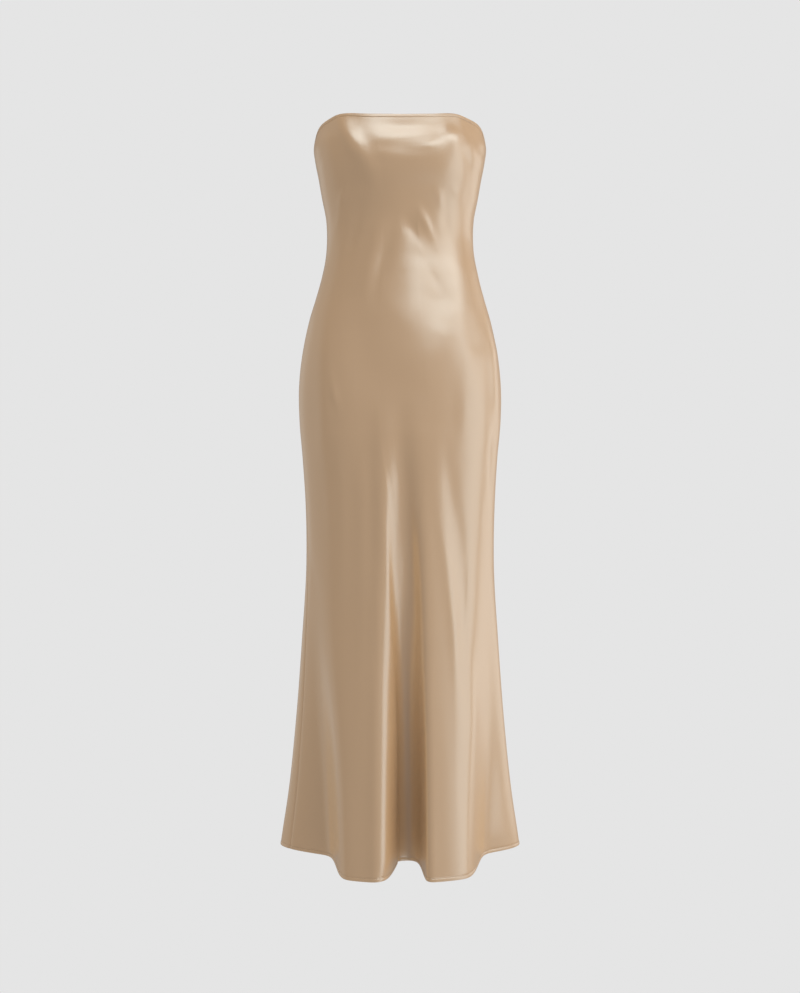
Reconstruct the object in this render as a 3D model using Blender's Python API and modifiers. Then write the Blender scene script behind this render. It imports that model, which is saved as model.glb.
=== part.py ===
"""Strapless maxi dress in bias-cut satin, filled out as it is worn, with no wearer.

The dress is modelled in metres with +Z up and the front facing -Y. The origin is at the middle of the
bust ring, level with the tops of the side seams. +X is the wearer's left side.

The body of the dress is one closed ring at every height. The tables give the rings, the skirt's flutes
and the top edge in millimetres. Each panel is an open sheet of points on that form, made thick inwards.
"""
import math
from collections import namedtuple

import bmesh
import bpy
import numpy as np
from mathutils import Matrix

MM = 0.001
COLLECTION = "strapless_maxi_dress"
CUTTERS = "cutters"

# Cloth and seams
WALL = 1.5 * MM                 # thickness of a panel
HEM_WALL = 3.0 * MM             # panel and its two turnings
HEM_TURNING = 6.0 * MM          # height of the turned hem
SEAM_GAP = 0.3 * MM             # clearance between neighbouring pieces
SEAM_OPENING = 0.4 * MM         # the same between panels, measured on the outside of the bend

# Top edge binding, a folded strip that wraps the panels' upper edges
BINDING_WALL = 1.0 * MM
BINDING_HEIGHT = 6.0 * MM
BINDING_GAP = 0.45 * MM         # clearance to the panels, which the binding's bends need

# Concealed zip down the centre back
SLIDER_TOP = -21.0 * MM         # height of the slider's upper end
ZIP_BOTTOM = -390.0 * MM
ZIP_MOUTH = 3.4 * MM            # opening between the back panels at the slider
ZIP_MOUTH_BOTTOM = -62.0 * MM
TAPE_WIDTH = 12.0 * MM
TAPE_WALL = 1.0 * MM
TAPE_DROP = 2.0 * MM            # from the binding down to the tapes
INSIDE_TAPES = WALL + TAPE_WALL + 3.0 * SEAM_GAP
CHAIN_WIDTH = 4.4 * MM
CHAIN_WALL = 1.8 * MM
STOP_HEIGHT = 6.0 * MM
STOP_OVERHANG = 0.6 * MM

# Slider: a body inside the dress, and a lug that passes out between the panels and carries a pin
SLIDER_WIDTH = 7.0 * MM
SLIDER_DEPTH = 3.4 * MM
SLIDER_HEIGHT = 9.0 * MM
LUG_WIDTH = 2.2 * MM
LUG_RADIUS = 1.6 * MM
PIN_RADIUS = 0.6 * MM
PIN_LENGTH = 5.6 * MM
PIN_DROP = 3.2 * MM             # from the slider's upper end down to the pin's axis
PIN_STAND_OFF = 2.6 * MM        # from the cloth out to the pin's axis

# Pull tab: a tapered tab with two eyes that straddle the lug
EYE_RADIUS = 1.9 * MM
EYE_BORE = 1.0 * MM
EYE_WIDTH = 1.3 * MM
PULL_LENGTH = 24.0 * MM
PULL_WIDTH = 6.4 * MM
PULL_NECK = 5.4 * MM
TAB_CLEARANCE = 0.5 * MM        # from the lug to the tab's upper edge
PULL_WALL = 1.4 * MM
ARM_OVERLAP = 1.6 * MM          # length of the eyes' arms inside the tab

# Rings of the dress. front and back are depths from the middle line, which is where a ring is widest.
# A positive fullness squares a ring's corners and a negative one draws them in.
Ring = namedtuple("Ring", "z half_width front back middle front_fullness back_fullness")
RINGS = [
    Ring(40, 139.0, 107, 82, 0, 0.095, 0.05),
    Ring(20, 142.5, 114, 84, 0, 0.085, 0.05),
    Ring(0, 146.0, 120, 86, 0, 0.080, 0.05),
    Ring(-18, 143.8, 123, 86, 0, 0.075, 0.05),
    Ring(-48, 138.0, 120, 84, 0, 0.070, 0.04),
    Ring(-82, 132.0, 109, 81, 0, 0.050, 0.03),
    Ring(-116, 125.5, 100, 79, 0, 0.040, 0.03),
    Ring(-150, 124.0, 96, 79, 0, 0.030, 0.03),
    Ring(-184, 126.5, 97, 85, 0, 0.030, 0.03),
    Ring(-218, 133.5, 101, 94, 0, 0.030, 0.03),
    Ring(-252, 143.0, 105, 104, 0, 0.030, 0.03),
    Ring(-286, 153.0, 109, 113, 0, 0.025, 0.03),
    Ring(-320, 160.5, 111, 120, 0, 0.020, 0.03),
    Ring(-354, 166.5, 112, 125, 0, 0.020, 0.03),
    Ring(-400, 171.0, 112, 128, 0, 0.015, 0.03),
    Ring(-456, 170.5, 112, 126, 0, 0.010, 0.02),
    Ring(-524, 165.0, 110, 119, 0, 0.000, 0.00),
    Ring(-592, 160.5, 106, 113, 0, -0.010, -0.01),
    Ring(-694, 159.0, 101, 106, 1, -0.025, -0.02),
    Ring(-830, 167.0, 100, 100, 5, -0.045, -0.03),
    Ring(-966, 177.5, 104, 97, 10, -0.060, -0.04),
    Ring(-1102, 192.5, 112, 97, 16, -0.075, -0.05),
    Ring(-1150, 200.0, 116, 98, 18, -0.080, -0.05),
    Ring(-1190, 206.0, 119, 100, 20, -0.085, -0.05),
]

# Height of the top edge at each angle round from the centre front.
Edge = namedtuple("Edge", "angle height")
TOP_EDGE = [
    Edge(0, 36.5),
    Edge(20, 37.8),
    Edge(38, 40.6),
    Edge(50, 35.9),
    Edge(62, 30.5),
    Edge(76, 18.5),
    Edge(90, 2.0),
    Edge(104, -7.0),
    Edge(125, -12.0),
    Edge(180, -13.0),
]
TOP_BLEND = 70.0                # depth over which the rows level out below the top edge
HEM_HEIGHT = -1178.0
HEM_DIP = 8.0                   # how much lower a flute's hem hangs than the rest

# Angle of each side seam from the centre front. The bias lets the skirt turn a little to one side.
Seam = namedtuple("Seam", "z right left")
SIDE_SEAMS = [
    Seam(40, 90, 90),
    Seam(-420, 89, 91),
    Seam(-760, 76, 95),
    Seam(-1190, 70, 98),
]

# Flutes of the skirt: the two edges of each, how far it stands out and how softly each edge turns.
Flute = namedtuple("Flute", "z start end depth start_soft end_soft")
FRONT_FLUTES = [
    [
        Flute(-470, -150, -24, 0, 40, 30),
        Flute(-620, -146, -25, 8, 28, 20),
        Flute(-820, -128, -24, 34, 16, 13),
        Flute(-1020, -111, -23, 75, 12, 10),
        Flute(-1190, -102, -23, 106, 9, 8),
    ],
    [
        Flute(-470, 18, 140, 0, 30, 40),
        Flute(-620, 22, 137, 9, 20, 28),
        Flute(-820, 26, 132, 36, 13, 17),
        Flute(-1020, 30, 128, 75, 10, 14),
        Flute(-1190, 32, 125, 107, 8, 11),
    ],
]
BACK_FLUTES = [
    [
        Flute(-500, -142, -30, 0, 36, 30),
        Flute(-820, -134, -42, 22, 20, 18),
        Flute(-1190, -124, -46, 62, 13, 12),
    ],
    [
        Flute(-520, 20, 132, 0, 30, 36),
        Flute(-820, 30, 128, 18, 18, 20),
        Flute(-1190, 36, 126, 54, 12, 14),
    ],
]
FLUTES_FROM = -480.0            # the columns start to follow the flutes here
FLUTES_FULL = -820.0            # and follow them wholly from here down

# Rows and columns of the panels' points
HIP_HEIGHT = -400.0
BODICE_ROWS = 11                # rows below the binding, down to the hip
SKIRT_ROWS = 13                 # rows from the hip to the turned hem
HEM_STEP = 2.0                  # from the top of the turned hem up to the last plain row
FRONT_SPLITS = (2, 2, 3, 2, 2, 3, 1, 1, 3, 2, 2, 3, 2, 2)   # columns between neighbouring column lines
BACK_SPLITS = (3, 3, 1, 1, 3, 2)
FLANK_REACH = 1.3               # a flute's side spans this many times its softness, each way
LEAST_SPACING = 0.03            # radians between neighbouring column lines
SIDE_COLUMN = 2.5               # width of the narrow column beside a side seam
BACK_COLUMNS = (4.0, 13.0)      # columns beside the centre back, under the zip tape

# Colours of the materials
SATIN = (0.56, 0.40, 0.27, 1.0)
TAPE_CLOTH = (0.45, 0.33, 0.22, 1.0)
BRASS = (0.62, 0.47, 0.30, 1.0)


def smoothstep(value):
    value = np.clip(value, 0.0, 1.0)
    return value * value * (3.0 - 2.0 * value)


def smooth(rows, key, name, at):
    """A table's column at the height or angle given, along cubic pieces with matched slopes."""
    keys = np.array([getattr(row, key) for row in rows], float)
    values = np.array([getattr(row, name) for row in rows], float)
    if keys[0] > keys[-1]:
        keys = keys[::-1]
        values = values[::-1]
    slopes = np.gradient(values, keys)
    at = np.clip(at, keys[0], keys[-1])
    low = np.clip(np.searchsorted(keys, at) - 1, 0, len(keys) - 2)
    step = keys[low + 1] - keys[low]
    t = (at - keys[low]) / step
    rise = t * t * (3.0 - 2.0 * t)
    start_pull = t * (1.0 - t) ** 2 * step * slopes[low]
    end_pull = t * t * (1.0 - t) * step * slopes[low + 1]
    return values[low] * (1.0 - rise) + values[low + 1] * rise + start_pull - end_pull


def ring(name, z):
    return smooth(RINGS, "z", name, z)


def ring_point(angle, z):
    """Point of the plain ring at an angle from the centre front, in millimetres."""
    in_front = np.cos(angle) > 0
    depth = np.where(in_front, ring("front", z), ring("back", z))
    fullness = np.where(in_front, ring("front_fullness", z), ring("back_fullness", z))
    swell = 1.0 + fullness * np.sin(2.0 * angle) ** 2
    x = ring("half_width", z) * np.sin(angle) * swell
    y = ring("middle", z) - depth * np.cos(angle) * swell
    return x, y


def flute_push(flutes, x, z):
    """How far the flutes stand out from the plain ring."""
    push = 0.0
    for rows in flutes:
        start = (x - smooth(rows, "z", "start", z)) / smooth(rows, "z", "start_soft", z)
        end = (x - smooth(rows, "z", "end", z)) / smooth(rows, "z", "end_soft", z)
        push = push + smooth(rows, "z", "depth", z) * 0.25 * (1.0 + np.tanh(start)) * (1.0 - np.tanh(end))
    return push


def surface(angle, z):
    """Outer surface of the dress, in millimetres."""
    x, y = ring_point(angle, z)
    toward_front = np.cos(angle)
    side_fade = 1.0 - np.exp(-(toward_front / 0.2) ** 2)
    front_push = flute_push(FRONT_FLUTES, x, z)
    back_push = flute_push(BACK_FLUTES, x, z)
    y = y - side_fade * np.where(toward_front > 0, front_push, -back_push)
    return np.stack(np.broadcast_arrays(x, y, z), axis=-1)


def top_edge(angle):
    return smooth(TOP_EDGE, "angle", "height", np.abs(np.degrees(angle)))


def row_height(angle, level):
    """Height of a row at an angle. Rows follow the top edge at first and hang level at the hem."""
    centre_top = TOP_EDGE[0].height
    drop = centre_top - level
    binding = BINDING_HEIGHT / MM
    follow = 1.0 - smoothstep((drop - binding) / (TOP_BLEND - binding))
    hem_share = np.clip((HIP_HEIGHT - level) / (HIP_HEIGHT - HEM_HEIGHT), 0.0, 1.0) ** 4
    x, _ = ring_point(angle, HEM_HEIGHT)
    stand_out = flute_push(FRONT_FLUTES, x, HEM_HEIGHT) / FRONT_FLUTES[0][-1].depth
    dip = HEM_DIP * np.where(np.cos(angle) > 0, stand_out, 0.0)
    return level + follow * (top_edge(angle) - centre_top) - hem_share * dip


def row_levels():
    """Nominal heights of the rows at the centre front, from under the binding down to the hem."""
    top = TOP_EDGE[0].height
    first = top - (BINDING_WALL + SEAM_GAP) / MM
    second = top - BINDING_HEIGHT / MM
    hem_line = HEM_HEIGHT + HEM_TURNING / MM
    bodice = np.linspace(second, HIP_HEIGHT, BODICE_ROWS + 1)[1:]
    skirt = np.linspace(HIP_HEIGHT, hem_line + HEM_STEP, SKIRT_ROWS + 1)[1:]
    return np.concatenate([[first, second], bodice, skirt, [hem_line, HEM_HEIGHT]])


def angle_of_x(x, z, low, high):
    """Angle at which the plain ring crosses x, between two angles over which x only grows or falls."""
    angles = np.linspace(low, high, 721)
    across, _ = ring_point(angles, z)
    if across[0] > across[-1]:
        angles = angles[::-1]
        across = across[::-1]
    return np.interp(x, across, angles)


def flute_lines(rows, z):
    """x of the five lines that a flute's columns follow: the feet and brows of both sides, and the crest."""
    start = smooth(rows, "z", "start", z)
    end = smooth(rows, "z", "end", z)
    start_wall = FLANK_REACH * smooth(rows, "z", "start_soft", z)
    end_wall = FLANK_REACH * smooth(rows, "z", "end_soft", z)
    return [start - start_wall, start + start_wall, 0.5 * (start + end), end - end_wall, end + end_wall]


def follow_flutes(start, end, lines, z):
    """Column lines slide from an even spread above the flutes to the flutes' own lines below."""
    even = np.linspace(start, end, len(lines))
    spacing = np.linspace(0.0, LEAST_SPACING * (len(lines) - 1), len(lines))
    direction = np.sign(end - start)
    travel = direction * (np.array(lines) - start)
    travel = np.clip(travel, spacing, abs(end - start) - spacing[::-1])
    share = smoothstep((FLUTES_FROM - z) / (FLUTES_FROM - FLUTES_FULL))
    return (1.0 - share) * even + share * (start + direction * travel)


def seam_angle(side, z):
    """Signed angle of a side seam. side is left or right, as worn; the left is at +X."""
    degrees = smooth(SIDE_SEAMS, "z", side, z)
    return math.radians(degrees) * (1 if side == "left" else -1)


def speed(angle, z):
    """Millimetres travelled along the ring for each radian."""
    step = 0.001
    before = surface(angle - step, z)
    after = surface(angle + step, z)
    return float(np.linalg.norm(after - before)) / (2.0 * step)


def split_columns(anchors, splits):
    columns = [anchors[0]]
    for start, end, count in zip(anchors, anchors[1:], splits):
        columns.extend(np.linspace(start, end, count + 1)[1:])
    return columns


def front_angles(z):
    """Angles of the front panel's columns at one height, from the right side seam to the left."""
    right = seam_angle("right", z)
    left = seam_angle("left", z)
    right += 0.5 * SEAM_OPENING / MM / speed(right, z)
    left -= 0.5 * SEAM_OPENING / MM / speed(left, z)
    inner_right = right + SIDE_COLUMN / speed(right, z)
    inner_left = left - SIDE_COLUMN / speed(left, z)
    first, second = [flute_lines(rows, z) for rows in FRONT_FLUTES]
    quarter = 0.5 * math.pi
    lines = angle_of_x(first + [0.5 * (first[-1] + second[0])] + second, z, -quarter, quarter)
    lines = [inner_right, 0.5 * (inner_right + lines[0]), *lines, 0.5 * (lines[-1] + inner_left), inner_left]
    columns = split_columns(follow_flutes(inner_right, inner_left, lines, z), FRONT_SPLITS)
    return np.array([right, *columns, left])


def zip_opening(z):
    """Distance between the two back panels at the centre back: open at the slider, closed below."""
    mouth_share = smoothstep((z - ZIP_MOUTH_BOTTOM / MM) / 30.0)
    return (SEAM_OPENING + (ZIP_MOUTH - SEAM_OPENING) * mouth_share) / MM


def back_angles(side, z):
    """Angles of a back panel's columns at one height, in the same sense of turn as the front's."""
    sign = 1 if side == "left" else -1
    seam = seam_angle(side, z)
    seam += sign * 0.5 * SEAM_OPENING / MM / speed(seam, z)
    inner_seam = seam + sign * SIDE_COLUMN / speed(seam, z)
    centre = sign * math.pi
    across = speed(centre, z)
    edge = centre - sign * 0.5 * zip_opening(z) / across
    beside_zip = [edge - sign * width / across for width in BACK_COLUMNS]
    flute = BACK_FLUTES[1] if side == "left" else BACK_FLUTES[0]
    inward = sorted(flute_lines(flute, z), key=abs, reverse=True)
    lines = [inner_seam, *angle_of_x(inward, z, sign * 0.5 * math.pi, centre), beside_zip[1]]
    columns = split_columns(follow_flutes(inner_seam, beside_zip[1], lines, z), BACK_SPLITS)
    return np.sort([seam, *columns, beside_zip[0], edge])


def panel_points(angles_at):
    """Grid of a panel's points in metres: rows from the top edge to the hem, columns towards +X in front."""
    rows = []
    for level in row_levels():
        angles = angles_at(level)
        rows.append(surface(angles, row_height(angles, level)) * MM)
    return np.array(rows)


def moved(grid, distance):
    """The grid moved out along its own normals, or in by a negative distance."""
    down = np.gradient(grid, axis=0)
    across = np.gradient(grid, axis=1)
    normal = np.cross(down, across)
    return grid + normal * distance / np.linalg.norm(normal, axis=-1, keepdims=True)


def make_material(name, colour, roughness, metallic=0.0):
    material = bpy.data.materials.new(name)
    material.use_nodes = True
    shader = material.node_tree.nodes["Principled BSDF"]
    shader.inputs["Base Color"].default_value = colour
    shader.inputs["Roughness"].default_value = roughness
    shader.inputs["Metallic"].default_value = metallic
    material.diffuse_color = colour
    return material


def add_object(name, mesh, material):
    part = bpy.data.objects.new(name, mesh)
    mesh.materials.append(material)
    bpy.data.collections[COLLECTION].objects.link(part)
    return part


def add_sheet(name, grid, thickness, direction, material):
    """Object made from a grid of points, thickened by Solidify. direction is -1 inwards, 1 outwards."""
    rows, columns, _ = grid.shape
    faces = []
    for row in range(rows - 1):
        for column in range(columns - 1):
            corner = row * columns + column
            faces.append((corner, corner + columns, corner + columns + 1, corner + 1))
    mesh = bpy.data.meshes.new(name)
    mesh.from_pydata(grid.reshape(-1, 3).tolist(), [], faces)
    mesh.shade_smooth()
    part = add_object(name, mesh, material)
    shell = part.modifiers.new("Thickness", "SOLIDIFY")
    shell.thickness = thickness
    shell.offset = direction
    shell.use_even_offset = True
    return part


def add_panel(name, grid):
    """A panel, thicker where the hem is turned up."""
    part = add_sheet(name, grid, HEM_WALL, -1, make_material(name, SATIN, 0.36))
    rows, columns, _ = grid.shape
    hem = part.vertex_groups.new(name="Turned hem")
    hem.add(list(range((rows - 2) * columns, rows * columns)), 1.0, "REPLACE")
    shell = part.modifiers["Thickness"]
    shell.vertex_group = hem.name
    shell.thickness_vertex_group = WALL / HEM_WALL
    return part


def add_binding(panels):
    """Strip folded over the top edges of the panels, from one side of the zip round to the other."""
    upper = np.concatenate([panel[:2] for panel in panels], axis=1)
    covered = BINDING_HEIGHT - BINDING_WALL
    upper[0] += (upper[0] - upper[1]) * SEAM_GAP / (covered - SEAM_GAP)
    outer = moved(upper, BINDING_GAP)
    inner = moved(upper, -(WALL + BINDING_GAP))
    folded = np.array([inner[1], inner[0], outer[0], outer[1]])
    return add_sheet("top_binding", folded, BINDING_WALL, 1, make_material("top_binding", SATIN, 0.34))


def at_heights(grid, heights):
    """The grid's columns read at other heights, along its own straight facets."""
    columns = []
    for column in range(grid.shape[1]):
        line = grid[::-1, column]
        columns.append([[np.interp(z, line[:, 2], line[:, axis]) for axis in range(3)] for z in heights])
    return np.array(columns).swapaxes(0, 1)


def zip_heights(panel, top, bottom):
    """Heights of a panel's own rows between two heights, with the two ends."""
    rows = [z for z in panel[:, 0, 2] if bottom < z < top]
    return [top, *rows, bottom]


def add_tape(name, panel, columns, material):
    """Tape of the zip, inside the back panel. columns run from the panel's centre back edge."""
    lining = moved(panel, -(WALL + SEAM_GAP))
    edge, beside, beyond = [lining[:, column] for column in columns]
    reach = (TAPE_WIDTH / MM - BACK_COLUMNS[0]) / (BACK_COLUMNS[1] - BACK_COLUMNS[0])
    strip = [edge, beside, beside + (beyond - beside) * reach]
    if columns[0] < 0:
        strip.reverse()
    top = top_edge(math.pi) * MM - BINDING_HEIGHT - TAPE_DROP
    strip = at_heights(np.stack(strip, axis=1), zip_heights(panel[:, columns[:1]], top, ZIP_BOTTOM))
    return add_sheet(name, strip, TAPE_WALL, -1, material)


def zip_line(edge, heights, depth=0.0):
    """Depth positions along the zip at some heights, a distance in from the outside of the cloth."""
    line = at_heights(edge, heights)[:, 0]
    return [point[1] - depth for point in line]


def add_chain(edge, material):
    """Closed coil of the zip, a flat bar inside both tapes."""
    top = SLIDER_TOP - SLIDER_HEIGHT - SEAM_GAP
    bottom = ZIP_BOTTOM + STOP_HEIGHT + SEAM_GAP
    heights = zip_heights(edge, top, bottom)
    half = 0.5 * CHAIN_WIDTH
    bar = [[(x, y, z) for x in (half, -half)] for y, z in zip(zip_line(edge, heights, INSIDE_TAPES), heights)]
    return add_sheet("zip_chain", np.array(bar), CHAIN_WALL, -1, material)


def box(name, low, high):
    """Box mesh between two corners."""
    centre = [0.5 * (a + b) for a, b in zip(low, high)]
    bpy.ops.mesh.primitive_cube_add(size=1.0, location=centre)
    shape = bpy.context.active_object
    shape.name = name
    shape.scale = [b - a for a, b in zip(low, high)]
    bpy.ops.object.transform_apply(location=False, rotation=False, scale=True)
    return shape


def pin(name, radius, length, centre, sides=24):
    """Cylinder along X."""
    bpy.ops.mesh.primitive_cylinder_add(
        vertices=sides, radius=radius, depth=length, location=centre, rotation=(0, 0.5 * math.pi, 0)
    )
    shape = bpy.context.active_object
    shape.name = name
    return shape


def move_to(shape, collection):
    for holder in list(shape.users_collection):
        holder.objects.unlink(shape)
    bpy.data.collections[collection].objects.link(shape)


def combine(part, other, operation):
    """Boolean of one shape on another; the second is kept as a hidden guide."""
    cut = part.modifiers.new(other.name, "BOOLEAN")
    cut.operation = operation
    cut.object = other
    other.hide_render = True
    other.display_type = "WIRE"
    move_to(other, CUTTERS)


def soften(part, width):
    bevel = part.modifiers.new("Soft edges", "BEVEL")
    bevel.width = width
    bevel.segments = 1
    bevel.limit_method = "ANGLE"
    bevel.angle_limit = math.radians(50)


def finish(shape, material):
    shape.data.materials.append(material)
    move_to(shape, COLLECTION)


def add_stop(edge, material):
    """Clamp that closes the zip's lower end."""
    half = 0.5 * CHAIN_WIDTH + STOP_OVERHANG
    top = ZIP_BOTTOM + STOP_HEIGHT
    near = min(zip_line(edge, [ZIP_BOTTOM, top], INSIDE_TAPES))
    stop = box("zip_stop", (-half, near - CHAIN_WALL, ZIP_BOTTOM), (half, near, top))
    soften(stop, 0.4 * MM)
    finish(stop, material)


def pin_axis(edge):
    """Centre of the slider's pin."""
    z = SLIDER_TOP - PIN_DROP
    return (0.0, zip_line(edge, [z])[0] + PIN_STAND_OFF, z)


def add_slider(edge, material):
    """Slider body behind the tapes, with the lug and pin that stand outside the cloth."""
    axis = pin_axis(edge)
    bottom = SLIDER_TOP - SLIDER_HEIGHT
    near = min(zip_line(edge, [SLIDER_TOP, bottom], INSIDE_TAPES))
    half = 0.5 * SLIDER_WIDTH
    slider = box("zip_slider", (-half, near - SLIDER_DEPTH, bottom), (half, near, SLIDER_TOP))
    soften(slider, 0.8 * MM)
    half = 0.5 * LUG_WIDTH
    web_low = (-half, near - 0.5 * SLIDER_DEPTH, axis[2] - LUG_RADIUS)
    web = box("Slider web", web_low, (half, axis[1], axis[2] + LUG_RADIUS))
    combine(slider, web, "UNION")
    combine(slider, pin("Slider lug", LUG_RADIUS, LUG_WIDTH, axis), "UNION")
    combine(slider, pin("Slider pin", PIN_RADIUS, PIN_LENGTH, axis), "UNION")
    finish(slider, material)


def tab_outline():
    """Outline of the pull tab below its eyes: narrow at the top, wide and round at the foot."""
    top = -(EYE_RADIUS + TAB_CLEARANCE)
    foot = 0.5 * PULL_WIDTH
    centre = -(PULL_LENGTH - foot)
    arc = [math.radians(-180 + 15 * step) for step in range(13)]
    round_end = [(foot * math.cos(a), centre + foot * math.sin(a)) for a in arc]
    return [(-0.5 * PULL_NECK, top), *round_end, (0.5 * PULL_NECK, top)]


def add_tab(axis):
    """Flat tab of the pull, drawn about the pin's axis and stood upright."""
    outline = bpy.data.curves.new("Tab outline", "CURVE")
    outline.dimensions = "2D"
    outline.fill_mode = "BOTH"
    outline.extrude = 0.5 * PULL_WALL
    points = tab_outline()
    spline = outline.splines.new("POLY")
    spline.points.add(len(points) - 1)
    for point, (x, z) in zip(spline.points, points):
        point.co = (x, z, 0.0, 1.0)
    spline.use_cyclic_u = True
    drawn = bpy.data.objects.new("Tab outline", outline)
    bpy.data.collections[COLLECTION].objects.link(drawn)
    mesh = bpy.data.meshes.new_from_object(drawn.evaluated_get(bpy.context.evaluated_depsgraph_get()))
    bpy.data.objects.remove(drawn)
    mesh.name = "zip_pull"
    mesh.transform(Matrix.Rotation(0.5 * math.pi, 4, "X"))
    weld(mesh)
    pull = bpy.data.objects.new("zip_pull", mesh)
    pull.location = axis
    return pull


def add_pull(edge, material):
    """Pull tab, hanging from the slider's pin. Its origin is on the pin's axis."""
    axis = pin_axis(edge)
    pull = add_tab(axis)
    bpy.data.collections[COLLECTION].objects.link(pull)
    pull.data.materials.append(material)
    eye_centre = 0.5 * LUG_WIDTH + SEAM_GAP + 0.5 * EYE_WIDTH
    half = 0.5 * EYE_WIDTH
    thin = 0.45 * PULL_WALL
    arm_top = axis[2] - 0.6 * EYE_RADIUS
    arm_foot = axis[2] - EYE_RADIUS - ARM_OVERLAP
    for x in (-eye_centre, eye_centre):
        arm = box("Pull arm", (x - half, axis[1] - thin, arm_foot), (x + half, axis[1] + thin, arm_top))
        combine(pull, pin("Pull eye", EYE_RADIUS, EYE_WIDTH, (x, axis[1], axis[2])), "UNION")
        combine(pull, arm, "UNION")
    combine(pull, pin("Pull bore", EYE_BORE, 4.0 * eye_centre, axis), "DIFFERENCE")


def weld(mesh):
    shape = bmesh.new()
    shape.from_mesh(mesh)
    bmesh.ops.remove_doubles(shape, verts=shape.verts, dist=0.001 * MM)
    bmesh.ops.recalc_face_normals(shape, faces=shape.faces)
    shape.to_mesh(mesh)
    shape.free()


def clear_scene():
    for old in list(bpy.data.objects):
        bpy.data.objects.remove(old)


def main():
    clear_scene()
    for name in (COLLECTION, CUTTERS):
        bpy.context.scene.collection.children.link(bpy.data.collections.new(name))
    front = panel_points(front_angles)
    left_back = panel_points(lambda z: back_angles("left", z))
    right_back = panel_points(lambda z: back_angles("right", z))
    add_panel("front_panel", front)
    add_panel("back_panel_left", left_back)
    add_panel("back_panel_right", right_back)
    add_binding((right_back, front, left_back))
    add_tape("zip_tape_left", left_back, (-1, -2, -3), make_material("zip_tape_left", TAPE_CLOTH, 0.8))
    add_tape("zip_tape_right", right_back, (0, 1, 2), make_material("zip_tape_right", TAPE_CLOTH, 0.8))
    centre_back = left_back[:, -1:]
    add_chain(centre_back, make_material("zip_chain", TAPE_CLOTH, 0.5))
    add_stop(centre_back, make_material("zip_stop", BRASS, 0.3, 1.0))
    add_slider(centre_back, make_material("zip_slider", BRASS, 0.3, 1.0))
    add_pull(centre_back, make_material("zip_pull", BRASS, 0.3, 1.0))


main()
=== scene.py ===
"""Looks of the strapless maxi dress: bias-cut satin, seams, stitching and zip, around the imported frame.

Everything is in metres in the frame's own axes: +Z up, the front facing -Y, +X the wearer's left side.
The tables that give the form are the part's own, in millimetres. The folds are laid on that form here.
"""

import math
from collections import namedtuple

import bpy
import numpy as np
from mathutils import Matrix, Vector


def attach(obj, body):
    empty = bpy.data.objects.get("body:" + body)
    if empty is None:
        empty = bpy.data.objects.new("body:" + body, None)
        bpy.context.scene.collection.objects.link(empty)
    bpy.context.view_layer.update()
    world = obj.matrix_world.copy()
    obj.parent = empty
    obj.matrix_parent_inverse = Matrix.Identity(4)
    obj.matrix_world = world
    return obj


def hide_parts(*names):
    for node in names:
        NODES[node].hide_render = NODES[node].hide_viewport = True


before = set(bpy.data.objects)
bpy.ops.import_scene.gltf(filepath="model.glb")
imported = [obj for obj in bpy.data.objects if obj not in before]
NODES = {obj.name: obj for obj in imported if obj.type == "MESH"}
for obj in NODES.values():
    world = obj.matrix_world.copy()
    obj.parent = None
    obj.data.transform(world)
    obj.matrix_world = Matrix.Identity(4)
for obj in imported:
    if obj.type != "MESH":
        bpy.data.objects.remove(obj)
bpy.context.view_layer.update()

MM = 0.001

# Sizes shared with the solids
WALL = 1.5 * MM
HEM_TURNING = 6.0 * MM
SEAM_GAP = 0.3 * MM
SEAM_OPENING = 0.1 * MM         # the sewn seams are closed, so this is only the line between two panels
BINDING_WALL = 1.0 * MM
BINDING_HEIGHT = 6.0 * MM
ZIP_BOTTOM = -390.0 * MM
ZIP_MOUTH = 3.4 * MM
ZIP_MOUTH_BOTTOM = -62.0 * MM
TAPE_WIDTH = 12.0 * MM
TAPE_WALL = 1.0 * MM
TAPE_DROP = 2.0 * MM
CHAIN_WALL = 1.8 * MM
SLIDER_TOP = -21.0 * MM
SLIDER_HEIGHT = 9.0 * MM
STOP_HEIGHT = 6.0 * MM
INSIDE_TAPES = WALL + TAPE_WALL + 3.0 * SEAM_GAP

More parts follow.
